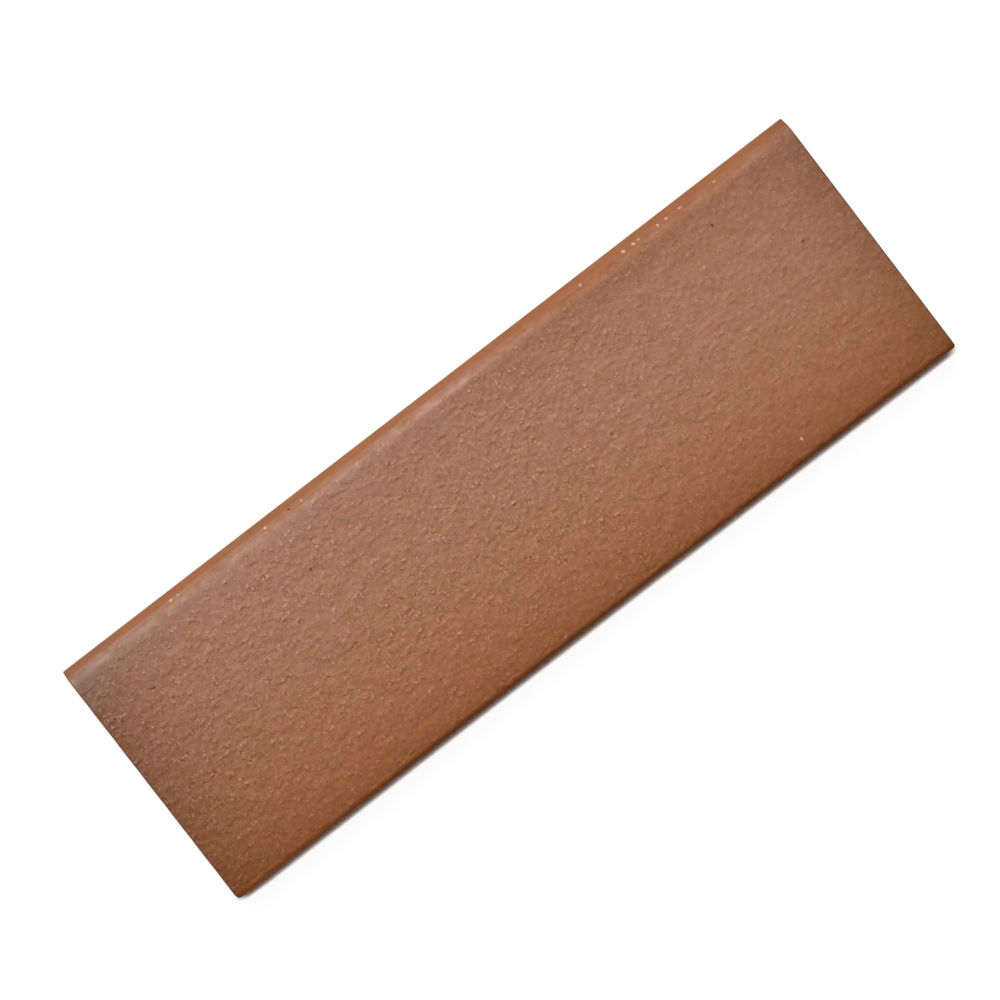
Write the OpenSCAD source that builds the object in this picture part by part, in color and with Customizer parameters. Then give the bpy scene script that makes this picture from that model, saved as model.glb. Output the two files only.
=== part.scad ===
// Extruded clinker brick slip, cut to length with a wire.
// X runs along the slip, Y across it and Z from the keyed back up to the face.
// The origin is the centre of the back, level with the crests of its ribs.

/* [Slip] */
// Length between the two wire-cut ends
body_l = 210; // [160:1:290]
// Width, the height of the brick course that the slip faces
body_w = 66; // [55:1:115]
// Thickness from the crests of the back ribs to the face
body_t = 14; // [9:0.5:30]

/* [Long arrises] */
// Radius of the two long edges of the face
face_arris_r = 3; // [1:0.25:6]
// Radius of the two long edges of the back
back_arris_r = 1; // [0.25:0.25:3]

/* [Key grooves] */
// Number of dovetail grooves along the back, even so that a rib lies on the centre line
groove_count = 6; // [2:2:6]
// Width of a groove at its mouth
groove_mouth_w = 4.5; // [2:0.25:6]
// Depth of a groove
groove_d = 2.4; // [1:0.2:4]
// How far a groove widens on each side from its mouth to its floor
groove_undercut = 0.7; // [0.2:0.1:1.5]
// Radius in the two corners of a groove's floor
groove_floor_r = 0.6; // [0.2:0.1:0.8]
// Width of the plain land between a long side and the groove next to it
edge_land_w = 6; // [4:0.5:9]

/* [Hidden] */
$fn = 64;
clay = [0.64, 0.45, 0.35];

// Distance that a cutting shape runs past the surface it cuts
overshoot = 1;
groove_floor_w = groove_mouth_w + 2 * groove_undercut;
groove_pitch = (body_w - 2 * edge_land_w - groove_mouth_w) / (groove_count - 1);
// Angle between a groove's floor and its flank
flank_angle = atan2(groove_d, groove_undercut);
// Distance from the sharp corner of floor and flank to where its rounding begins
corner_run = groove_floor_r / tan(flank_angle / 2);

// Outline of the die, with its four long edges rounded
module die_outline() {
    translate([-body_w / 2, back_arris_r])
        square([body_w, body_t - face_arris_r - back_arris_r]);
    translate([-body_w / 2 + face_arris_r, body_t / 2])
        square([body_w - 2 * face_arris_r, body_t / 2]);
    translate([-body_w / 2 + back_arris_r, 0])
        square([body_w - 2 * back_arris_r, body_t / 2]);
    for (side = [-1, 1]) {
        translate([side * (body_w / 2 - face_arris_r), body_t - face_arris_r])
            circle(face_arris_r);
        translate([side * (body_w / 2 - back_arris_r), back_arris_r])
            circle(back_arris_r);
    }
}

// Dovetail outline of one groove, its mouth at y = 0 and its floor corners rounded
module groove_outline() {
    flank_end = [
        groove_floor_w / 2 - corner_run * cos(flank_angle),
        groove_d - corner_run * sin(flank_angle)
    ];
    floor_end = [groove_floor_w / 2 - corner_run, groove_d];
    right = [[groove_mouth_w / 2, -overshoot], [groove_mouth_w / 2, 0], flank_end, floor_end];
    left = [for (i = [len(right) - 1 : -1 : 0]) [-right[i].x, right[i].y]];
    polygon(concat(right, left));
    for (side = [-1, 1])
        translate([side * floor_end.x, groove_d - groove_floor_r])
            circle(groove_floor_r);
}

module brick_slip() {
    color(clay)
        rotate([90, 0, 90])
            linear_extrude(body_l, center = true)
                difference() {
                    die_outline();
                    for (i = [0 : groove_count - 1])
                        translate([(i - (groove_count - 1) / 2) * groove_pitch, 0])
                            groove_outline();
                }
}

brick_slip();
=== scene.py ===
"""Looks of the clinker brick slip: sanded face, arrises, keyed back and fired clay, on a pale floor."""

import math

import bpy
import numpy as np
from mathutils import Matrix, Vector, geometry, noise


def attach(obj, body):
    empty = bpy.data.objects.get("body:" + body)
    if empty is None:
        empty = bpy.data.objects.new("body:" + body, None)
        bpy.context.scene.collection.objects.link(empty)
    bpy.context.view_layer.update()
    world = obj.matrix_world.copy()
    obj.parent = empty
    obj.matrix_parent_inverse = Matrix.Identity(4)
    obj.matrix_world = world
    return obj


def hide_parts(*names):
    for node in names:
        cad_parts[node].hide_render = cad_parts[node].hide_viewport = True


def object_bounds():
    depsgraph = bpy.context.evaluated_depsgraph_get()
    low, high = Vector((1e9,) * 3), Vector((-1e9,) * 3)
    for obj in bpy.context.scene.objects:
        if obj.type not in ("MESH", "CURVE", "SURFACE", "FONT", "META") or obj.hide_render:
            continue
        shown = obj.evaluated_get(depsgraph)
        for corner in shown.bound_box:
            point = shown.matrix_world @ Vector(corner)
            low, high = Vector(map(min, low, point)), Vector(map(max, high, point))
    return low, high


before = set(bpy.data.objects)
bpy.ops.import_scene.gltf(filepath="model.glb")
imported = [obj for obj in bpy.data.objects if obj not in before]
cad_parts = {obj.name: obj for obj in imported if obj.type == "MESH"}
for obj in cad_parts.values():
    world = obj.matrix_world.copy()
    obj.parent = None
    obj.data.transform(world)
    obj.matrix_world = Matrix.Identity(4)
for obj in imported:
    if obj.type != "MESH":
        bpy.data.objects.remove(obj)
cad_low, cad_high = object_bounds()

MM = 0.001

# The slip's box, from the parts in model.glb. Its back lies on the floor, at z = 0.
HALF_L = (cad_high.x - cad_low.x) / 2
HALF_W = (cad_high.y - cad_low.y) / 2
THICK = cad_high.z - cad_low.z

# Section of the slip, as it is extruded
FACE_ARRIS_R = 3 * MM
BACK_ARRIS_R = 1 * MM
GROOVES = 6
GROOVE_MOUTH = 4.5 * MM
GROOVE_FLOOR = 5.9 * MM
GROOVE_DEPTH = 2.4 * MM
GROOVE_FILLET = 0.6 * MM
EDGE_LAND = 6 * MM

# Worn edges: the bevel of the wire-cut ends, the share of it that varies, and the radii of the lower corners
CUT_BEVEL = 0.3 * MM
BEVEL_WEAR = 0.7
LEFT_CORNER_R = 1.4 * MM
RIGHT_CORNER_R = 0.7 * MM

# The slip dried and fired a little out of true, so its lower long side bows in
BOW = 0.36 * MM

# Cells of the mesh along the slip, and how many of them a cell takes on the sides and on the back
CELLS_ALONG = 520
SIDE_STEP = 4
BACK_STEP = 20
# Cells across the face, round each face arris, down each side and round each small arc of the back
FACE_CELLS = 148
ARRIS_CELLS = 10
SIDE_CELLS = 6
BACK_ARC_CELLS = 3

# Cells of the cut ends: their side, and the shares of it by which they stray and keep off the outline
CUT_CELL = 0.7 * MM
CUT_STRAY = 0.2
CUT_CLEARANCE = 0.45
CUT_SEED = 7
# How close two points of an end may come before they count as one
WELD = 1e-7
# Edges that turn by more than this are shown sharp
SHARP_ANGLE = math.radians(55)


def smooth(low, high, x):
    """0 below low, 1 above high, and a smooth step between them."""
    t = np.clip((x - low) / (high - low), 0, 1)
    return t * t * (3 - 2 * t)


def ramp(x, start, rise, low, high):
    """start below low, start + rise above high, and a smooth step between. Ramps are given as these four."""
    return start + rise * smooth(low, high, x)


def near(distance, reach):
    """1 at an edge, and less with the distance from it."""
    return np.exp(-np.maximum(distance, 0) / reach)


def around(x, centre, reach):
    """1 at a place along the slip, and less with the distance from it to both sides."""
    return np.exp(-(((x - centre) / reach) ** 2))


# ------------------------------------------------------------------ section


def arc(y, z, radius, start, end, cells):
    """Points of an arc round (y, z), with its angles in degrees."""
    angles = np.radians(np.linspace(start, end, cells + 1))
    return [(y + radius * math.cos(a), z + radius * math.sin(a)) for a in angles]


def groove(centre):
    """One dovetail key groove, from its -Y lip to its +Y lip."""
    lip, foot = GROOVE_MOUTH / 2, GROOVE_FLOOR / 2
    lean = math.atan2(GROOVE_DEPTH, foot - lip)
    run = GROOVE_FILLET / math.tan(lean / 2)
    height = GROOVE_DEPTH - GROOVE_FILLET
    fillet = arc(foot - run, height, GROOVE_FILLET, 90, math.degrees(lean) - 90, BACK_ARC_CELLS)
    right = fillet + [(lip, 0)]
    left = [(-y, z) for y, z in reversed(right)]
    return [(centre + y, z) for y, z in left + right]


def sanded_outline():
    """Outline of the face and its two arrises, from the top of the +Y side to the top of the -Y side."""
    flat = HALF_W - FACE_ARRIS_R
    top = THICK - FACE_ARRIS_R
    fine = arc(flat, top, FACE_ARRIS_R, 0, 90, ARRIS_CELLS)
    fine += [(flat - 2 * flat * i / FACE_CELLS, THICK) for i in range(1, FACE_CELLS)]
    return fine + arc(-flat, top, FACE_ARRIS_R, 90, 180, ARRIS_CELLS)


def back_outline():
    """Outline of the back and its two arrises, from the foot of the -Y side to the foot of the +Y side."""
    land = HALF_W - BACK_ARRIS_R
    back = arc(-land, BACK_ARRIS_R, BACK_ARRIS_R, 180, 270, BACK_ARC_CELLS)
    pitch = (2 * (HALF_W - EDGE_LAND) - GROOVE_MOUTH) / (GROOVES - 1)
    for i in range(GROOVES):
        back += groove((i - (GROOVES - 1) / 2) * pitch)
    return back + arc(land, BACK_ARRIS_R, BACK_ARRIS_R, 270, 360, BACK_ARC_CELLS)


def section():
    """The slip's outline as (y, z, step) rows, anticlockwise from the top of its +Y side.

    step is how many of the slip's cells the row's own cell takes."""
    top = THICK - FACE_ARRIS_R
    drop = (top - BACK_ARRIS_R) / SIDE_CELLS
    left_side = [(-HALF_W, top - drop * i) for i in range(1, SIDE_CELLS)]
    right_side = [(HALF_W, z) for y, z in reversed(left_side)]

    rows = [(y, z, 1) for y, z in sanded_outline()]
    rows += [(y, z, SIDE_STEP) for y, z in left_side]
    rows += [(y, z, BACK_STEP) for y, z in back_outline()]
    rows += [(y, z, SIDE_STEP) for y, z in right_side]
    return rows


def unit(vectors):
    """The vectors, each with length 1."""
    return vectors / np.linalg.norm(vectors, axis=1)[:, None]


def outward(outline):
    """Unit normals of a closed outline, out of the slip."""
    ahead = np.roll(outline, -1, axis=0) - outline
    behind = outline - np.roll(outline, 1, axis=0)
    along = unit(ahead) + unit(behind)
    return unit(np.stack([along[:, 1], -along[:, 0]], axis=1))


# ------------------------------------------------------------------- relief

# Noises of the shape and of the painted sheen and ash, as their wavelength and seed
SWELLS = (4 * MM, 1)
PEEL = (1.2 * MM, 2)
CROWDS = (1.8 * MM, 3)
GRIT = (0.66 * MM, 4)
BROAD_PATCHES = (4 * MM, 5)
SMALL_PATCHES = (1.4 * MM, 6)
ARRIS_PATCHES = (2.2 * MM, 7)
RAGGED_EDGE = (1.5 * MM, 9)
RIM_WEAR = (2.5 * MM, 10)
WIRE_DRAGS = (0.7 * MM, 11)
TEARS = (1.3 * MM, 12)
# How far each step of a seed moves its noise, in wavelengths
SEED_STEP = (17.3, 5.1, 9.7)

# How high the swells, the orange peel and the grit stand, in mm
SWELL_HEIGHT = 0.2
PEEL_HEIGHT = 0.33
GRIT_HEIGHT = 0.28
# The peel's share where no grit lies, and what crowds of grit add to it
PEEL_LEAST = 0.35
PEEL_CROWDED = 0.65
# Over which range of its noise the grit rises out of its bed, how high, and how high the bed is
GRIT_OUT = (0.1, 0.8)
GRIT_PEAK = 1.35
BED_PEAK = 0.3

# How thickly the grit lies, as ramps over its noise, along the slip, and up from the lower edge
CROWD_NOISE = (0.3, 0.75, -0.25, 0.5)
CROWD_ALONG = (1, -0.5, 10 * MM, 85 * MM)
CROWD_UP = (0.6, 0.46, 0, 26 * MM)

# Between which rises of its normal an arris's sanding ends, and below which rise it never reaches
SANDING_ENDS = (0.6, 0.92)
UNSANDED = 0.2
# How ragged that is: the share of its noise, what is taken off it, and how far into the face it reaches
RAGGED_SHARE = 0.7
RAGGED_OFF = 0.04
RAGGED_REACH = 2.2 * MM

# Mean depth of the sanded relief below the face, so that no grain stands out of the slip's box
RELIEF_ROOM = 0.4 * MM
# The peel's share in the relief that the grain's tone follows
PEEL_TONE = 0.35

# Distance over which the relief's slope is taken, and the slope towards the key light that gets about twice
# a level place's ash and sheen, as painted highlight
SLOPE_STEP = 0.3 * MM
STEEP = 0.46


def field(points, wavelength, seed):
    """Gradient noise at each point, about -1 to 1. Its swells lie some 2.6 wavelengths apart."""
    shift = Vector([seed * step for step in SEED_STEP])
    return np.array([noise.noise(Vector(p) / wavelength + shift) for p in points])


def crowding(points):
    """How thickly the grit lies: about 1 in its crowds, and less between them, to the right and low down."""
    x, y = points[:, 0], points[:, 1]
    crowds = ramp(field(points, *CROWDS), *CROWD_NOISE)
    return crowds * ramp(x, *CROWD_ALONG) * ramp(y + HALF_W, *CROWD_UP)


def grit(points, crowds):
    """Height of the grit about its mean, as a share of a full grain."""
    bed = field(points, *GRIT)
    return (GRIT_PEAK * smooth(*GRIT_OUT, bed) + BED_PEAK * bed) * crowds


def sanded_height(points, crowds):
    """Height of the sanded face about its mean: broad swells, an orange peel, and grit."""
    swell = SWELL_HEIGHT * field(points, *SWELLS)
    peel = PEEL_HEIGHT * field(points, *PEEL) * (PEEL_LEAST + PEEL_CROWDED * crowds)
    return (swell + peel + GRIT_HEIGHT * grit(points, crowds)) * MM


def slope_to_key_light(points, height, crowds):
    """How steeply the relief faces the +Y side, where the key light stands, for painted highlight and shade
    on the grain: about -1 to 1.
    """
    ahead = points + np.array([0, SLOPE_STEP, 0])
    return (height - sanded_height(ahead, crowds)) / (SLOPE_STEP * STEEP)


def sanding(points, rise):
    """How fully the sanding covers a row whose normal rises that much: it ends unevenly on the arrises."""
    inward = HALF_W - FACE_ARRIS_R - np.abs(points[:, 1])
    ragged = RAGGED_SHARE * field(points, *RAGGED_EDGE) - RAGGED_OFF
    return smooth(*SANDING_ENDS, rise + ragged * near(inward, RAGGED_REACH))


def sanded_grain(points, rise):
    """The sanded relief of a row: the grain's attributes, and its height about its mean."""
    sanded = sanding(points, rise)
    crowds = crowding(points) * sanded
    height = sanded_height(points, crowds)
    flame = slope_to_key_light(points, height, crowds) * sanded
    relief = grit(points, crowds) + PEEL_TONE * field(points, *PEEL)
    return {"sanded": sanded, "crowds": crowds, "relief": relief, "flame": flame}, height * sanded


def bow(x, y):
    """How far the lower long side is drawn in at x, less towards the upper one."""
    return BOW * (1 - (x / HALF_L) ** 2) * (HALF_W - y) / (2 * HALF_W)


def corner_inset(from_end, radius):
    """How far a rounded corner draws the side in, at a distance from the end."""
    reach = np.clip(radius - from_end, 0, radius)
    return radius - np.sqrt(radius**2 - reach**2)


# ------------------------------------------------------------- darker edges, painted light and shade

# A tilt is -1 on the lower long side, 0 on the face and 1 on the upper long side. A turn is a range of it,
# given without its sign for the lower arris.

# The slip's left half, as a ramp along it
LEFT_HALF = (1, -1, -30 * MM, 55 * MM)
# The lower flank, as ramps up from the back and across from the lower long side
FLANK_UP = (1, -1, THICK - 6 * MM, THICK - 2.4 * MM)
FLANK_ACROSS = (1, -1, 0, 12 * MM)

# How much darker the ends, the left end's rim and the long edges are at most, and how far in that reaches.
# The left end's rim is painted shade.
LEFT_DARK = (0.33, 15 * MM)
LEFT_RIM_PAINTED_SHADE = (0.12, 0.8 * MM)
RIGHT_DARK = (0.25, 9 * MM)
LOWER_DARK = (0.26, 6 * MM)
UPPER_DARK = (0.2, 7 * MM)
# The same for the upper left corner
CORNER_DARK = 0.19
CORNER_REACH = 12 * MM
# How the clay darkens up the face, as a ramp
ACROSS_DARK = (1, -0.05, -20 * MM, 5 * MM)

# Share of the left end's darkening that misses the end of the upper arris, and the side below it
SHELTER = 0.7
SHELTER_REACH = 4 * MM
SHELTERED_ARRIS = (0.3, 0.9)
SHELTERED_SIDE = (0.96, 1)

# The upper arris: darker at its lip, paler as it turns down towards the key light, a painted highlight, both
# more on the left, and palest on the side, painted light
LIP_DARK = 0.05
LIP_DARK_LEFT = 0.1
LIP_TURN = (0, 0.2)
ARRIS_PAINTED_HIGHLIGHT = 0.08
ARRIS_PAINTED_HIGHLIGHT_LEFT = 0.06
ARRIS_TURN = (0.3, 0.85)
SIDE_PAINTED_LIGHT = 0.3
SIDE_TURN = (0.93, 1.02)
# A smudge on it near its left end
SMUDGE_DARK = 0.1
SMUDGE_PLACE = (-94 * MM, 7 * MM)
SMUDGE_TURN = (0.3, 0.8)

# The lower arris, as ramps over its turn: paler at its lip and darker further down, where it turns away from
# the key light: painted light and shade
LOWER_LIP = (1, 0.4, 0.05, 0.4)
LOWER_SIDE = (1, -0.33, 0.5, 0.95)
# Painted light: it is lighter near both ends, most where it turns into the side
LIGHT_LEFT_REACH = 30 * MM
LIGHT_RIGHT = (0.4, 12 * MM)
LIGHT_LIP = 0.45
LIGHT_LIP_TURN = (0.1, 0.6)
LIGHT_SIDE_TURN = (0.6, 0.95)

# Where the clay's colour turns darker and warmer, down the lower arris: painted shade
WARM_TURN = (0.3, 0.9)

# Shade of the cut ends, painted shade on their worn edges, and the ash on them
CUT_SHADE = 0.95
CUT_EDGE_PAINTED_SHADE = 0.5
CUT_FILM = 0.45
# Shade of the lower flank and the ash on it
FLANK_SHADE = 0.95
FLANK_FILM = 0.45


def edge_share(distance, share, reach):
    """That share at an edge, and less with the distance from it."""
    return share * near(distance, reach)


class Places:
    """Points with the tilt of the slip there, and their distances from its ends and long sides."""

    def __init__(self, points, tilt):
        self.points = points
        self.tilt = tilt
        self.x, self.y, self.z = points.T
        self.left, self.right = self.x + HALF_L, HALF_L - self.x
        self.lower, self.upper = self.y + HALF_W, HALF_W - self.y
        self.leftward = ramp(self.x, *LEFT_HALF)


def lower_flank(points):
    """1 on the lower long side and the back next to it, and 0 from the arris up and across."""
    return ramp(points[:, 2], *FLANK_UP) * ramp(points[:, 1] + HALF_W, *FLANK_ACROSS)


def edge_shade(at):
    """How much darker the ends, the long edges and the upper left corner are, with painted shade along the
    left end's rim.
    """
    arris_end = smooth(*SHELTERED_ARRIS, at.tilt) * near(at.left, SHELTER_REACH)
    exposed = 1 - SHELTER * np.maximum(arris_end, smooth(*SHELTERED_SIDE, at.tilt))
    shade = (1 - edge_share(at.left, *LEFT_DARK) * exposed) * (1 - edge_share(at.right, *RIGHT_DARK))
    shade *= ramp(at.y, *ACROSS_DARK)
    shade *= 1 - edge_share(at.left, *LEFT_RIM_PAINTED_SHADE)
    shade *= 1 - CORNER_DARK * near(at.left, CORNER_REACH) * near(at.upper, CORNER_REACH) * exposed
    return shade * ((1 - edge_share(at.lower, *LOWER_DARK)) * (1 - edge_share(at.upper, *UPPER_DARK)))


def upper_arris_shading(at):
    """Shade of the upper arris and the long side below it, with a painted highlight where it turns towards
    the key light and painted light on the side.
    """
    lip = (LIP_DARK + LIP_DARK_LEFT * at.leftward) * smooth(*LIP_TURN, at.tilt)
    pale = (ARRIS_PAINTED_HIGHLIGHT + ARRIS_PAINTED_HIGHLIGHT_LEFT * at.leftward) * smooth(*ARRIS_TURN, at.tilt)
    side = SIDE_PAINTED_LIGHT * smooth(*SIDE_TURN, at.tilt)
    smudge = SMUDGE_DARK * around(at.x, *SMUDGE_PLACE) * smooth(*SMUDGE_TURN, at.tilt)
    return 1 - lip + pale + side - smudge


def lower_arris_shading(at):
    """Painted light and shade of the lower arris."""
    return ramp(-at.tilt, *LOWER_LIP) * ramp(-at.tilt, *LOWER_SIDE)


def lower_arris_painted_light(at):
    """How much lighter the lower arris is near the slip's ends: painted light."""
    ends = near(at.left, LIGHT_LEFT_REACH) + edge_share(at.right, *LIGHT_RIGHT)
    return 1 + ends * (LIGHT_LIP * smooth(*LIGHT_LIP_TURN, -at.tilt) + smooth(*LIGHT_SIDE_TURN, -at.tilt))


def kiln_shade(at):
    """What the clay's brightness is multiplied by: darker edges, and painted light and shade on the arrises.
    """
    flank = lower_flank(at.points)
    shade = edge_shade(at) * upper_arris_shading(at) * lower_arris_shading(at) * lower_arris_painted_light(at)
    return shade * (1 - flank) + FLANK_SHADE * flank


# ----------------------------------------------------------------- painted sheen and ash film

# The painted sheen and ash across the slip: least along the lower edge, and its rise from there over this
# width
SHEEN_ASH_LEAST = 0.05
SHEEN_ASH_RISE = 0.95
SHEEN_ASH_WIDTH = 46 * MM

# How much thinner it is at both ends at most, and how far in that reaches
LEFT_SWEPT = (0.5, 12 * MM)
RIGHT_SWEPT = (0.5, 10 * MM)
# How far from the upper edge it begins to thin there, and thins in full
SWEPT_FROM_UPPER = (0, 14 * MM)
# How much thinner it is low on the left, how far that reaches from the end, and its ramp up the face
LOW_LEFT_SWEPT = (0.3, 50 * MM)
LOW_LEFT_ACROSS = (1, -1, -10 * MM, 22 * MM)

# The level of the sheen and ash, and how much lower it is on the left half
SHEEN_ASH_LEVEL = 1.08
LEFT_LOWER = 0.08
# What it loses along the upper edge, what the left half gains there, and how far in that reaches
EDGE_LOSS = 0.6
EDGE_GAIN = 1.04
EDGE_REACH = 6 * MM
# A thicker stretch of the edge: how much thicker, its middle and half length, and how far in it reaches
THICK_STRETCH = 0.2
STRETCH_PLACE = (-58 * MM, 25 * MM)
STRETCH_REACH = 12 * MM

# How much its patches vary it, and where the arris has patches of its own
BROAD_PATCH = 0.2
SMALL_PATCH = 0.15
ARRIS_PATCH = 0.45
PATCH_TURN = (0.25, 0.7)

# Painted highlight on the upper arris, in drifts: their share, middle and half length, and how bare it is
# between them
HIGHLIGHT_DRIFTS = ((0.7, -95 * MM, 11 * MM), (0.75, 8 * MM, 22 * MM), (0.6, 90 * MM, 28 * MM))
DRIFT_TURN = (0.4, 0.85)
BARE = 0.07
BARE_TURN = (0.1, 0.75)
# How the sheen and ash thin down the long side, as ramps over the turn and up the side
FOOT_TURN = (1, -0.4, 0.7, 1)
FOOT_UP = (0.15, 0.85, THICK - 6 * MM, THICK - 2 * MM)


def film_across(at):
    """The spread of the painted sheen and ash from the lower edge up."""
    return SHEEN_ASH_LEAST + SHEEN_ASH_RISE * np.sin(np.pi / 2 * np.clip(at.lower / SHEEN_ASH_WIDTH, 0, 1))


def film_swept(at):
    """What is left of the sheen and ash near the ends and low on the left, where they are thinner."""
    swept = (1 - edge_share(at.left, *LEFT_SWEPT)) * (1 - edge_share(at.right, *RIGHT_SWEPT))
    swept = 1 - (1 - swept) * smooth(*SWEPT_FROM_UPPER, at.upper)
    return swept * (1 - edge_share(at.left, *LOW_LEFT_SWEPT) * ramp(at.y, *LOW_LEFT_ACROSS))


def film_edge(at):
    """The painted sheen and ash along the upper edge: thick on the left half, and thin on the right."""
    edge = SHEEN_ASH_LEVEL + (EDGE_GAIN * at.leftward - EDGE_LOSS) * near(at.upper, EDGE_REACH)
    edge -= LEFT_LOWER * at.leftward
    return edge + THICK_STRETCH * around(at.x, *STRETCH_PLACE) * near(at.upper, STRETCH_REACH)


def film_patches(at):
    """The patches of the sheen and ash, broad and small, and the arris's own."""
    patches = 1 + BROAD_PATCH * field(at.points, *BROAD_PATCHES)
    patches += SMALL_PATCH * field(at.points, *SMALL_PATCHES)
    return patches + ARRIS_PATCH * field(at.points, *ARRIS_PATCHES) * smooth(*PATCH_TURN, at.tilt)


def arris_highlight_drift(at):
    """How much more painted highlight lies in the drifts on the upper arris, and how much less between them.
    """
    drifts = sum(share * around(at.x, middle, half) for share, middle, half in HIGHLIGHT_DRIFTS)
    return drifts * smooth(*DRIFT_TURN, at.tilt) - BARE * smooth(*BARE_TURN, at.tilt)


def ash_film(at):
    """How much painted sheen and pale ash lie on the slip: little at its lower edge, and most along its
    upper arris.
    """
    foot = ramp(at.tilt, *FOOT_TURN) * ramp(at.z, *FOOT_UP)
    film = film_across(at) * film_swept(at) * film_edge(at) * film_patches(at) * (1 + arris_highlight_drift(at)) * foot
    return film + FLANK_FILM * lower_flank(at.points)


# --------------------------------------------------------------------- mesh

# What the cutting wire left, in mm: the mean depth, what drag marks and tears add, and where the noise tears
CUT_DEPTH = 0.09
DRAG_DEPTH = 0.07
TEAR_DEPTH = 0.2
TORN = (0.35, 0.8)
# The drag marks run up the end, so their noise is drawn out in z
DRAG_STRETCH = (1, 1, 0.22)


class Skin:
    """Vertices, faces and attributes of the slip's mesh, as they are laid."""

    ATTRIBUTES = ("sanded", "crowds", "relief", "flame", "kiln", "film", "warm", "cut")

    def __init__(self):
        self.vertices, self.faces = [], []
        self.values = {name: [] for name in self.ATTRIBUTES}

    def lay(self, points, **values):
        """Adds points with their attributes, and gives the first one's index."""
        first = len(self.vertices)
        self.vertices.extend(points)
        for name, stored in self.values.items():
            stored.extend(np.broadcast_to(values.get(name, 0), len(points)))
        return first


def lay_row(skin, x, row, normal):
    """Lays one row of the outline at those places along the slip, and gives its first vertex."""
    y, z = row[:2]
    tilt, rise = normal
    points = np.stack([x, np.full_like(x, y), np.full_like(x, z)], axis=1)
    grain, height = {}, np.zeros(len(x))
    if rise > UNSANDED:
        grain, height = sanded_grain(points, rise)
    at = Places(points, tilt)
    depth = np.maximum(RELIEF_ROOM * smooth(0, 1, rise) - height, 0)
    sunk = points - depth[:, None] * np.array([0, tilt, rise])
    warm = smooth(*WARM_TURN, -tilt) * (1 - lower_flank(sunk))
    return skin.lay(sunk, **grain, kiln=kiln_shade(at), film=ash_film(at), warm=warm)


def lay_rows(skin, rows, normals):
    """Lays the outline's rows along the slip, and gives each row's vertices by station."""
    stations = np.linspace(-(HALF_L - CUT_BEVEL), HALF_L - CUT_BEVEL, CELLS_ALONG + 1)
    columns = []
    for row, normal in zip(rows, normals):
        step = row[2]
        first = lay_row(skin, stations[::step], row, normal)
        columns.append({station: first + i for i, station in enumerate(range(0, CELLS_ALONG + 1, step))})
    return columns


def join_rows(skin, rows, columns):
    """Faces between neighbouring rows. Where steps differ, a face has the finer row's extra corners."""
    for i, row in enumerate(rows):
        following = (i + 1) % len(rows)
        steps = row[2], rows[following][2]
        reach = max(steps)
        for start in range(0, CELLS_ALONG, reach):
            near_edge = [columns[i][s] for s in range(start, start + reach + 1, steps[0])]
            far_edge = [columns[following][s] for s in range(start, start + reach + 1, steps[1])]
            skin.faces.append(near_edge[::-1] + far_edge)


def inside(points, ring):
    """Which points lie in a closed outline, further from it than the cut's cells have to keep."""
    a, b = ring, np.roll(ring, -1, axis=0)
    y, z = points[:, 0, None], points[:, 1, None]
    spans = (a[:, 1] > z) != (b[:, 1] > z)
    rise = np.where(b[:, 1] == a[:, 1], 1, b[:, 1] - a[:, 1])
    crossings = spans & (y < a[:, 0] + (z - a[:, 1]) / rise * (b[:, 0] - a[:, 0]))
    edge = b - a
    offset = points[:, None] - a
    along = np.clip((offset * edge).sum(2) / (edge**2).sum(1), 0, 1)
    distance = np.linalg.norm(offset - along[..., None] * edge, axis=2).min(axis=1)
    return (crossings.sum(axis=1) % 2 == 1) & (distance > CUT_CLEARANCE * CUT_CELL)


def cut_relief(points):
    """How deep the cutting wire's drag marks and small tears lie in an end."""
    drags = field(points * np.array(DRAG_STRETCH), *WIRE_DRAGS)
    tears = smooth(*TORN, field(points, *TEARS))
    return (CUT_DEPTH + DRAG_DEPTH * drags + TEAR_DEPTH * tears) * MM


def lay_bevel(skin, normals, columns, end):
    """Lays the worn bevel round one end, and gives its rim's first vertex and outline."""
    station = 0 if end < 0 else CELLS_ALONG
    corners = np.array([skin.vertices[column[station]] for column in columns])
    bevel = CUT_BEVEL * (1 + BEVEL_WEAR * field(corners, *RIM_WEAR))[:, None]
    rim = corners.copy()
    rim[:, 0] = end * HALF_L
    rim[:, 1:] -= normals * bevel
    first = skin.lay(rim, kiln=CUT_EDGE_PAINTED_SHADE)
    count = len(columns)
    for i in range(count):
        following = (i + 1) % count
        quad = [columns[i][station], columns[following][station], first + following, first + i]
        skin.faces.append(quad if end < 0 else quad[::-1])
    return first, rim[:, 1:]


def cut_cells(ring):
    """Places of the cells that fill an end's outline, each a little astray."""
    y = np.arange(-HALF_W, HALF_W, CUT_CELL)
    z = np.arange(0, THICK, CUT_CELL)
    grid = np.stack(np.meshgrid(y, z), axis=-1).reshape(-1, 2)
    grid += np.random.default_rng(CUT_SEED).uniform(-CUT_STRAY, CUT_STRAY, grid.shape) * CUT_CELL
    return grid[inside(grid, ring)]


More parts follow.
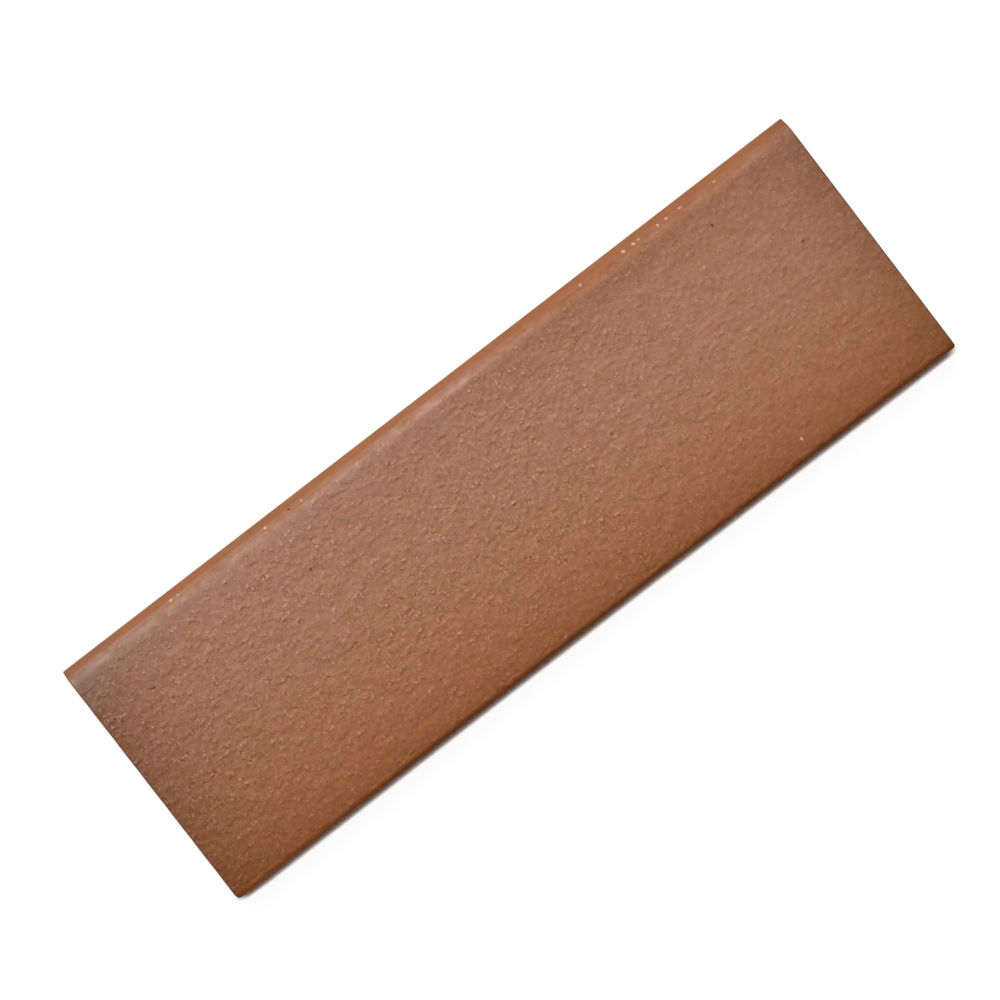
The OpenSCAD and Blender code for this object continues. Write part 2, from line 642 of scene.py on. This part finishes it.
def lay_cut(skin, first, ring, end):
    """Lays the face that the cutting wire left, inside the rim with that first vertex and outline."""
    grid = cut_cells(ring)
    filling = np.concatenate([np.full((len(grid), 1), end * HALF_L), grid], axis=1)
    filling[:, 0] -= end * cut_relief(filling)
    laid = skin.lay(filling, kiln=CUT_SHADE, film=CUT_FILM, cut=1)

    count = len(ring)
    flat = [Vector(p) for p in np.concatenate([ring, grid])]
    edges = [(i, (i + 1) % count) for i in range(count)]
    made = geometry.delaunay_2d_cdt(flat, edges, [], 1, WELD)
    source = [ids[0] for ids in made[3]]
    for triangle in made[2]:
        places = [source[i] for i in triangle]
        face = [first + i if i < count else laid + i - count for i in places]
        skin.faces.append(face if end > 0 else face[::-1])


def out_of_true(points):
    """Bows the lower long side in and rounds its two corners."""
    points[:, 1] += bow(points[:, 0], points[:, 1])
    for end, radius in ((-1, LEFT_CORNER_R), (1, RIGHT_CORNER_R)):
        inset = corner_inset(HALF_L - end * points[:, 0], radius)
        points[:, 1] = np.maximum(points[:, 1], -HALF_W + inset)
    return points


def build_slip():
    """The slip as one closed mesh."""
    rows = section()
    normals = outward(np.array([row[:2] for row in rows]))
    skin = Skin()
    columns = lay_rows(skin, rows, normals)
    join_rows(skin, rows, columns)
    for end in (-1, 1):
        first, ring = lay_bevel(skin, normals, columns, end)
        lay_cut(skin, first, ring, end)

    mesh = bpy.data.meshes.new("slip")
    mesh.from_pydata(out_of_true(np.array(skin.vertices)).tolist(), [], skin.faces)
    mesh.validate()
    mesh.shade_smooth()
    mesh.set_sharp_from_angle(angle=SHARP_ANGLE)
    for name, values in skin.values.items():
        layer = mesh.attributes.new(name, "FLOAT", "POINT")
        layer.data.foreach_set("value", np.array(values, dtype=np.float32))
    slip = bpy.data.objects.new("slip", mesh)
    bpy.context.collection.objects.link(slip)
    return slip


# ----------------------------------------------------------------- material


class Nodes:
    """Makes a material's nodes, so that each one takes a line."""

    def __init__(self, owner):
        """owner is a material or a world."""
        owner.use_nodes = True
        self.tree = owner.node_tree
        self.tree.nodes.clear()

    def feed(self, socket, value):
        """Links a socket to another one, or sets its value."""
        if isinstance(value, bpy.types.NodeSocket):
            self.tree.links.new(value, socket)
        else:
            socket.default_value = value

    def add(self, kind, settings=None, **inputs):
        """A node with its settings, and its inputs by name, or by place as i0, i1 and so on."""
        node = self.tree.nodes.new(kind)
        for key, value in (settings or {}).items():
            setattr(node, key, value)
        for key, value in inputs.items():
            by_place = key[0] == "i" and key[1:].isdigit()
            self.feed(node.inputs[int(key[1:]) if by_place else key.replace("_", " ")], value)
        return node

    def here(self):
        """The place in the object's own space."""
        return self.add("ShaderNodeTexCoord").outputs["Object"]

    def attribute(self, name):
        return self.add("ShaderNodeAttribute", {"attribute_name": name}).outputs["Fac"]

    def grey(self, value):
        """A colour with that value in all three channels."""
        return self.add("ShaderNodeCombineColor", i0=value, i1=value, i2=value).outputs[0]

    def math(self, operation, a, b=0.0, c=0.0):
        return self.add("ShaderNodeMath", {"operation": operation}, i0=a, i1=b, i2=c).outputs[0]

    def vector(self, operation, a, b, c=(0, 0, 0)):
        return self.add("ShaderNodeVectorMath", {"operation": operation}, i0=a, i1=b, i2=c).outputs[0]

    def plus(self, a, b):
        return self.math("ADD", a, b)

    def minus(self, a, b):
        return self.math("SUBTRACT", a, b)

    def times(self, a, b):
        return self.math("MULTIPLY", a, b)

    def linear(self, value, slope, level):
        """level + slope * value."""
        return self.math("MULTIPLY_ADD", value, slope, level)

    def noise(self, wavelength, detail, stretch=(1, 1, 1), offset=(0, 0, 0)):
        """Noise of 0 to 1 in the object's own space, with that wavelength in metres."""
        moved = self.vector("MULTIPLY_ADD", self.here(), stretch, offset)
        node = self.add("ShaderNodeTexNoise", Vector=moved, Scale=1 / wavelength, Detail=detail)
        return node.outputs["Fac"]

    def wander(self, reach):
        """A vector that changes from place to place, by up to the reach and over about the same distance."""
        source = self.add("ShaderNodeTexNoise", Vector=self.here(), Scale=1 / reach, Detail=0)
        strays = source.outputs["Color"]
        return self.add("ShaderNodeVectorMath", {"operation": "SCALE"}, i0=strays, Scale=reach).outputs[0]

    def cells(self, size, offset):
        """Cells of that size, seen from above: the distance from a cell's middle, and its random number."""
        moved = self.vector("ADD", self.here(), offset)
        flat = {"voronoi_dimensions": "2D"}
        node = self.add("ShaderNodeTexVoronoi", flat, Vector=moved, Scale=1 / size)
        own = self.add("ShaderNodeSeparateColor", Color=node.outputs["Color"]).outputs[0]
        return node.outputs["Distance"], own

    def remap(self, value, low, high, to_low=0.0, to_high=1.0):
        """to_low where the value is low, to_high where it is high, and a smooth step between them."""
        ends = {"From_Min": low, "From_Max": high, "To_Min": to_low, "To_Max": to_high}
        step = {"interpolation_type": "SMOOTHSTEP"}
        return self.add("ShaderNodeMapRange", step, Value=value, **ends).outputs[0]

    def mix(self, factor, a, b, blend="MIX"):
        """Colour a mixed with colour b, each a socket or three numbers."""
        kind = {"data_type": "RGBA", "blend_type": blend, "clamp_factor": False}
        a, b = (c if isinstance(c, bpy.types.NodeSocket) else (*c, 1) for c in (a, b))
        return self.add("ShaderNodeMix", kind, i0=factor, i6=a, i7=b).outputs[2]


CLAY_RED = (0.326, 0.1096, 0.0417)
CLAY_OCHRE = (0.314, 0.1158, 0.0386)
# Pale grey added for the ash and for painted sheen and highlights
ASH_AND_SHEEN = (0.066, 0.066, 0.066)
# What the clay's colour is multiplied by on the lower arris: painted shade, darker and warmer
UNDERSIDE_SHADE = (1, 0.75, 0.4)
SPECK = (0.66, 0.4, 0.28)
IRON = (0.1, 0.035, 0.02)

# Grains of pale grit burnt into the face and the foot of the upper arris, as x, y and radius in mm
PALE_SPECKS = (
    (-75, 33, 0.27), (-73, 33, 0.2), (-47.5, 33, 0.3), (-37, 33, 0.2), (-26.5, -14.5, 0.3),
    (44.5, 33, 0.28), (57, 33, 0.37), (60, 33, 0.36), (61.5, 33, 0.23), (63.5, -27.5, 0.28),
    (67, 33, 0.27), (69.5, 33, 0.3), (73.5, 33, 0.24), (83.5, 33, 0.2),
)
# Dark iron spots, likewise
DARK_SPECKS = ((-45, 19, 0.32), (-40.5, 33, 0.32), (77, 25.5, 0.32), (91.5, 9.5, 0.32))
# Specks with a y of more than this, in mm, lie at the foot of the upper arris
ARRIS_SPECKS = 31
# How much taller than wide the grains smeared over the arris are
SMEAR = 2.4
# How uneven a speck is, and the parts of its radius where it ends and where it is full
WOBBLE = {"wavelength": 0.35 * MM, "detail": 1}
WOBBLE_RANGE = (0.2, 0.8, -0.25 * MM, 0.25 * MM)
SPECK_RIM = 1.7
SPECK_FULL = 0.5

# Noises of the clay, as Nodes.noise takes them. Their offsets keep them from running alike.
HUE = {"wavelength": 4.5 * MM, "detail": 1}
FINE = {"wavelength": 0.55 * MM, "detail": 0.7, "offset": (0.3, 0, 0)}
# The fine grain a little further up the face, from which its slope is taken
FINE_BEYOND = {"wavelength": 0.55 * MM, "detail": 0.7, "offset": (0.3, 0.12 * MM, 0)}
SALT = {"wavelength": 0.3 * MM, "detail": 0, "offset": (0, 0, 0.6)}
CLUSTERS = {"wavelength": 0.9 * MM, "detail": 0, "offset": (0, 0, 0.8)}
STREAKS = {"wavelength": 0.55 * MM, "detail": 2, "stretch": (0.05, 1, 1), "offset": (0, 0.2, 0)}
MOTTLE = {"wavelength": 1.1 * MM, "detail": 3, "offset": (0, 0.5, 0.5)}
CLOUDS = {"wavelength": 5 * MM, "detail": 1, "offset": (0.5, 0.5, 0)}
DRAGS = {"wavelength": 0.6 * MM, "detail": 2, "stretch": (1, 1, 0.12), "offset": (0, 0, 0.4)}
PORES = {"wavelength": 0.45 * MM, "detail": 1, "offset": (0.1, 0.1, 0)}

# How Nodes.remap takes them: the two ends of a range, and what they become where that is not 0 and 1
HUE_RANGE = (0.3, 0.7)
GRAIN_RANGE = (0.42, 0.85)
# Ridges lie where the fine grain passes this value, and reach this far from it
RIDGE_VALUE = 0.5
RIDGE_RANGE = (0.1, 0.0, -0.05, 0.25)
CLUSTER_RANGE = (0.45, 0.62)
# The pale salt flecks are painted glints on the grit
PALE_SALT = (0.62, 0.76, 0.0, 0.4)
DARK_SALT = (0.38, 0.26, 0.0, -0.25)
# Crests of the relief paler, as worn grain, and its hollows darker, as painted shade
RELIEF_TONE = (-0.35, 1.15, -0.2, 0.6)
STREAK_TONE = (0.3, 0.7, -0.05, 0.05)
MOTTLE_TONE = (0.3, 0.7, -0.07, 0.07)
CLOUD_TONE = (0.3, 0.7, -0.045, 0.045)
DRAG_TONE = (0.3, 0.7, -0.06, 0.08)
PORE_RANGE = (0.62, 0.78)

# Crumbs of grit: the size of their cells, and how far those stray
CRUMB_CELL = 1.05 * MM
CRUMB_STRAY = 0.5 * MM
# Which cells have one, by their own random number and by the clusters
CRUMB_CHANCE = (0.35, 0.6)
CRUMB_CLUSTERED = (0.0, 0.7, 0.35, 1.0)
# How far from its middle a crumb ends, and the dark moat of painted shade round it begins and ends, and the
# tones of both
CRUMB_EDGE = (0.46, 0.2)
MOAT_INNER = (0.34, 0.48)
MOAT_OUTER = (0.68, 0.5)
CRUMB_TONE = 0.54
MOAT_TONE = -0.66

# How far the speckle brightens the clay and the pores darken it, and how steep the fine grain's slope
# towards the key light counts in its painted highlight
SPECKLE_TONE = 0.3
PORE_TONE = 0.3
FINE_LIT_SLOPE = 1.6
# Painted highlight on slopes towards the key light and painted shade on those away from it: how much more
# sheen and ash, and how much bare pale ash they get, and the least that can lie anywhere
LIT_SLOPE_SHEEN = 0.35
LIT_SLOPE_HIGHLIGHT = 0.75
SHEEN_ASH_MIN = -0.3

# Bump: its distance, and how high crumbs, fine grain, streaks and drag marks stand, as shares of it
BUMP = 0.055 * MM
CRUMB_BUMP = 1.5
GRAIN_BUMP = 0.4
STREAK_BUMP = 0.35
DRAG_BUMP = 0.6
ROUGHNESS = 0.65
SPECULAR = 0.06


def specks(n, places):
    """1 on the specks at those places, each an uneven dot."""
    squashed = n.vector("MULTIPLY", n.here(), (1, 1, 1 / SMEAR))
    wobble = n.remap(n.noise(**WOBBLE), *WOBBLE_RANGE)
    found = 0.0
    for x, y, radius in places:
        z = THICK - FACE_ARRIS_R if y > ARRIS_SPECKS else THICK
        place = (x * MM, y * MM, z / SMEAR)
        span = n.add("ShaderNodeVectorMath", {"operation": "DISTANCE"}, i0=squashed, i1=place)
        away = n.plus(span.outputs["Value"], wobble)
        found = n.math("MAXIMUM", found, n.remap(away, SPECK_RIM * radius * MM, SPECK_FULL * radius * MM))
    return found


def body_colour(n):
    """The clay's colour: a red to ochre mottle, darker and warmer on the lower arris as painted shade, and
    multiplied by the shading: darker edges, painted light and shade.
    """
    clay = n.mix(n.remap(n.noise(**HUE), *HUE_RANGE), CLAY_RED, CLAY_OCHRE)
    warmed = n.mix(n.attribute("warm"), clay, UNDERSIDE_SHADE, blend="MULTIPLY")
    return n.mix(1.0, warmed, n.grey(n.attribute("kiln")), blend="MULTIPLY")


def crumbs(n, clusters):
    """Crumbs of grit, most of them in clusters: how high each stands, and its tone with a dark moat of
    painted shade round it.
    """
    place, own = n.cells(CRUMB_CELL, offset=n.wander(CRUMB_STRAY))
    lying = n.times(n.remap(own, *CRUMB_CHANCE), n.remap(clusters, *CRUMB_CLUSTERED))
    crumb = n.times(lying, n.remap(place, *CRUMB_EDGE))
    moat = n.times(lying, n.times(n.remap(place, *MOAT_INNER), n.remap(place, *MOAT_OUTER)))
    return crumb, n.plus(n.times(crumb, CRUMB_TONE), n.times(moat, MOAT_TONE))


def sanded_speckle(n, crowds, fine):
    """The sanded grain: its speckle about the clay's mean tone, with painted shade in the hollows and round
    the crumbs, and the height of its crumbs.
    """
    salt = n.noise(**SALT)
    clusters = n.remap(n.noise(**CLUSTERS), *CLUSTER_RANGE)
    crumb, crumb_tone = crumbs(n, clusters)
    ridges = n.remap(n.math("ABSOLUTE", n.minus(fine, RIDGE_VALUE)), *RIDGE_RANGE)
    flecks = n.plus(n.remap(salt, *PALE_SALT), n.remap(salt, *DARK_SALT))
    speckle = n.times(crowds, n.plus(n.times(ridges, clusters), n.plus(flecks, crumb_tone)))
    return n.plus(speckle, n.remap(n.attribute("relief"), *RELIEF_TONE)), crumb


def facing_key_light(n, crowds, fine):
    """How steeply the relief and the fine grain face the key light, for their painted highlight and shade.
    """
    slope = n.minus(fine, n.noise(**FINE_BEYOND))
    return n.plus(n.attribute("flame"), n.times(slope, n.times(crowds, FINE_LIT_SLOPE)))


def streaked(n, extruded):
    """The die's streaks and mottle on the sides and back: their tone, and their height."""
    streaks, mottle = n.noise(**STREAKS), n.noise(**MOTTLE)
    smear = n.plus(n.remap(streaks, *STREAK_TONE), n.remap(mottle, *MOTTLE_TONE))
    tone = n.times(extruded, n.plus(smear, n.remap(n.noise(**CLOUDS), *CLOUD_TONE)))
    return tone, n.times(extruded, n.linear(streaks, STREAK_BUMP, mottle))


def dragged(n, cut):
    """The wire's drag marks and the pores on the cut ends: their tone, and their height."""
    drags = n.noise(**DRAGS)
    pores = n.remap(n.noise(**PORES), *PORE_RANGE)
    tone = n.times(cut, n.minus(n.remap(drags, *DRAG_TONE), n.times(pores, PORE_TONE)))
    return tone, n.times(cut, n.minus(n.times(drags, DRAG_BUMP), pores))


def under_ash_and_sheen(n, body, speckle, flame):
    """The body's colour with pale ash and painted sheen added: a painted highlight on slopes that face the
    key light, and more on the speckle's crests.
    """
    laid = n.times(n.attribute("film"), n.linear(flame, LIT_SLOPE_SHEEN, 1.0))
    ash_and_light = n.plus(laid, n.linear(flame, LIT_SLOPE_HIGHLIGHT, speckle))
    return n.mix(n.math("MAXIMUM", ash_and_light, SHEEN_ASH_MIN), body, ASH_AND_SHEEN, blend="ADD")


def fired_clay():
    """Fired clay: a sanded grain on the face, streaks on the sides and back, a wire's drag on the ends."""
    material = bpy.data.materials.new("fired_clay")
    n = Nodes(material)
    sanded, crowds, cut = (n.attribute(name) for name in ("sanded", "crowds", "cut"))
    extruded = n.minus(1.0, n.math("MAXIMUM", sanded, cut))

    fine = n.noise(**FINE)
    speckle, crumb = sanded_speckle(n, crowds, fine)
    streak_tone, streak_height = streaked(n, extruded)
    drag_tone, drag_height = dragged(n, cut)

    tone = n.plus(n.linear(speckle, SPECKLE_TONE, 1.0), n.plus(streak_tone, drag_tone))
    body = n.mix(1.0, body_colour(n), n.grey(tone), blend="MULTIPLY")
    with_sheen = under_ash_and_sheen(n, body, speckle, facing_key_light(n, crowds, fine))
    spotted = n.mix(specks(n, DARK_SPECKS), with_sheen, IRON)
    colour = n.mix(specks(n, PALE_SPECKS), spotted, SPECK)

    grain = n.times(n.plus(n.remap(fine, *GRAIN_RANGE), fine), GRAIN_BUMP)
    grain_height = n.times(n.linear(crumb, CRUMB_BUMP, grain), crowds)
    height = n.plus(grain_height, n.plus(streak_height, drag_height))
    bump = n.add("ShaderNodeBump", Strength=1.0, Distance=BUMP, Height=height).outputs[0]
    gloss = {"Roughness": ROUGHNESS, "Specular_IOR_Level": SPECULAR}
    shader = n.add("ShaderNodeBsdfPrincipled", Base_Color=colour, Normal=bump, **gloss)
    n.add("ShaderNodeOutputMaterial", Surface=shader.outputs[0])
    return material


# -------------------------------------------------------------------- stage

# Where the camera stands, as seen from the slip: its distance, how far it leans to the +Y side and swings to
# the +X side, and its roll
CAMERA_DISTANCE = 4.5
CAMERA_LEAN = math.radians(12.3)
CAMERA_SWING = math.radians(-0.53)
CAMERA_ROLL = math.radians(37.53)
CAMERA_LENS = 699.4
# How far the slip's middle lies right of the picture's, and below it
CAMERA_RIGHT = 2.33 * MM
CAMERA_BELOW = 2.26 * MM

# Light of the room from all round, its brightness where it is seen, and how much of it the floor gives back
AMBIENT = 0.38
ROOM_SEEN = 1.0
FLOOR_BOUNCE = 0.45
# Half the floor's side, in metres
FLOOR_HALF = 6.0
# The floor as it is seen: the part that takes shadows, the part that glows, and how far a crevice reaches
FLOOR_SHADED = 0.13
FLOOR_GLOW = 0.93
FLOOR_CREVICE = 4.5 * MM
# Light that the clay throws into its own contact shadow, and its tint
CREVICE_GLOW = 0.045
CREVICE_TINT = (1, 0.42, 0.18)
CLEAR_TINT = (1, 1, 1)
# Which way a crevice is looked for: under the +Y side of a thing, so that its -Y side has the contact shadow
CREVICE_LEAN = math.radians(125)
CREVICE_SAMPLES = 32
# Between which openings a crevice's glow and tint give way to the clear floor's
GLOW_OPENS = (0.843, 0.945)
TINT_OPENS = (0.86, 0.915)
# How far in from the slip's outline the floor beneath it turns dark, and how dark
BENEATH = (-0.3 * MM, -1.5 * MM)
BENEATH_DARK = 0.96
# How far past the slip's ends the floor turns clear
PAST_END = (-0.2 * MM, 0.8 * MM)

# The key light: how far it leans to the +Y side and swings to the +X side, and its distance, size and power
KEY_LEAN = math.radians(46)
KEY_SWING = math.radians(1)
KEY_DISTANCE = 1.2
KEY_SIZE = 0.9
KEY_POWER = 17.5


def direction(lean, swing):
    """Unit vector that leans from +Z towards +Y, and swings towards +X."""
    return Vector((math.sin(swing), math.sin(lean) * math.cos(swing), math.cos(lean) * math.cos(swing)))


def add_camera():
    back = direction(CAMERA_LEAN, CAMERA_SWING)
    level = Vector((0, 1, 0)).cross(back).normalized()
    rise = back.cross(level)
    right = level * math.cos(CAMERA_ROLL) - rise * math.sin(CAMERA_ROLL)
    up = level * math.sin(CAMERA_ROLL) + rise * math.cos(CAMERA_ROLL)
    aim = Vector((0, 0, THICK / 2)) - right * CAMERA_RIGHT + up * CAMERA_BELOW
    camera = bpy.data.objects.new("camera", bpy.data.cameras.new("camera"))
    camera.data.lens = CAMERA_LENS
    turn = Matrix((right, up, back)).transposed().to_4x4()
    camera.matrix_world = Matrix.Translation(aim + back * CAMERA_DISTANCE) @ turn
    bpy.context.collection.objects.link(camera)
    bpy.context.scene.camera = camera


def add_key():
    """A square soft light that faces the slip."""
    back = direction(KEY_LEAN, KEY_SWING)
    light = bpy.data.lights.new("key", "AREA")
    light.shape = "SQUARE"
    light.size = KEY_SIZE
    light.energy = KEY_POWER
    lamp = bpy.data.objects.new("key", light)
    lamp.location = back * KEY_DISTANCE
    lamp.rotation_mode = "QUATERNION"
    lamp.rotation_quaternion = back.to_track_quat("Z", "Y")
    bpy.context.collection.objects.link(lamp)


def seen_directly(n):
    """1 for the rays that show a backdrop, straight from the camera or in gloss and glass."""
    path = n.add("ShaderNodeLightPath")
    glossy = n.math("MAXIMUM", path.outputs["Is Glossy Ray"], path.outputs["Is Transmission Ray"])
    return n.math("MAXIMUM", path.outputs["Is Camera Ray"], glossy)


def diffuse(n, brightness):
    """A matt grey shader."""
    return n.add("ShaderNodeBsdfDiffuse", Color=(*[brightness] * 3, 1)).outputs[0]


def past_slip(n):
    """How far a place on the floor lies past the slip's ends and past its sides: both below 0 beneath it."""
    place = n.add("ShaderNodeNewGeometry").outputs["Position"]
    folded = n.add("ShaderNodeVectorMath", {"operation": "ABSOLUTE"}, i0=place).outputs[0]
    beside = n.vector("SUBTRACT", folded, (HALF_L, HALF_W, 0))
    past = n.add("ShaderNodeSeparateXYZ", Vector=beside).outputs
    return past["X"], past["Y"]


def crevice_opening(n):
    """How open the floor is to the light: 1 in the clear, and less in the crevice under an object."""
    facing = direction(CREVICE_LEAN, 0)
    tilted = n.add("ShaderNodeCombineXYZ", X=facing.x, Y=facing.y, Z=facing.z).outputs[0]
    samples = {"samples": CREVICE_SAMPLES}
    return n.add("ShaderNodeAmbientOcclusion", samples, Distance=FLOOR_CREVICE, Normal=tilted).outputs["AO"]


def floor_glow(n):
    """The floor's glow: full in the clear, faint and tinted in the slip's crevice, and least beneath it."""
    opening = crevice_opening(n)
    past_end, past_side = past_slip(n)
    beneath = n.remap(n.math("MAXIMUM", past_end, past_side), *BENEATH)
    paled = n.times(n.remap(opening, *TINT_OPENS), n.minus(1.0, beneath))
    tint = n.mix(paled, CREVICE_TINT, CLEAR_TINT)
    glow = n.remap(opening, *GLOW_OPENS, CREVICE_GLOW, FLOOR_GLOW)
    dimmed = n.times(glow, n.linear(beneath, -BENEATH_DARK, 1.0))
    crevice = n.add("ShaderNodeEmission", Color=tint, Strength=dimmed)
    clear = n.add("ShaderNodeEmission", Strength=FLOOR_GLOW)
    beyond = n.math("GREATER_THAN", past_side, FLOOR_CREVICE)
    unshaded = n.math("MAXIMUM", n.remap(past_end, *PAST_END), beyond)
    return n.add("ShaderNodeMixShader", i0=unshaded, i1=crevice.outputs[0], i2=clear.outputs[0]).outputs[0]


def floor_material():
    """White sweep: it glows where it is seen directly, less in the crevice under the slip."""
    material = bpy.data.materials.new("floor")
    n = Nodes(material)
    sweep = n.add("ShaderNodeAddShader", i0=diffuse(n, FLOOR_SHADED), i1=floor_glow(n))
    bounce = diffuse(n, FLOOR_BOUNCE)
    mixed = n.add("ShaderNodeMixShader", i0=seen_directly(n), i1=bounce, i2=sweep.outputs[0])
    n.add("ShaderNodeOutputMaterial", Surface=mixed.outputs[0])
    return material


def add_floor():
    half = FLOOR_HALF
    corners = [(-half, -half, 0), (half, -half, 0), (half, half, 0), (-half, half, 0)]
    mesh = bpy.data.meshes.new("floor")
    mesh.from_pydata(corners, [], [(0, 1, 2, 3)])
    mesh.materials.append(floor_material())
    floor = bpy.data.objects.new("floor", mesh)
    bpy.context.collection.objects.link(floor)


def add_world():
    """A pale studio, white where it is seen directly."""
    world = bpy.data.worlds.new("studio")
    n = Nodes(world)
    strength = n.add("ShaderNodeMapRange", Value=seen_directly(n), To_Min=AMBIENT, To_Max=ROOM_SEEN)
    background = n.add("ShaderNodeBackground", Strength=strength.outputs[0])
    n.add("ShaderNodeOutputWorld", Surface=background.outputs[0])
    bpy.context.scene.world = world


def build_stage():
    add_camera()
    add_floor()
    add_world()
    add_key()
    bpy.context.scene.view_settings.view_transform = "Standard"


# --------------------------------------------------------------------- main

build_stage()
slip = build_slip()
slip.data.materials.append(fired_clay())
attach(slip, "root")
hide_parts("brick_slip")
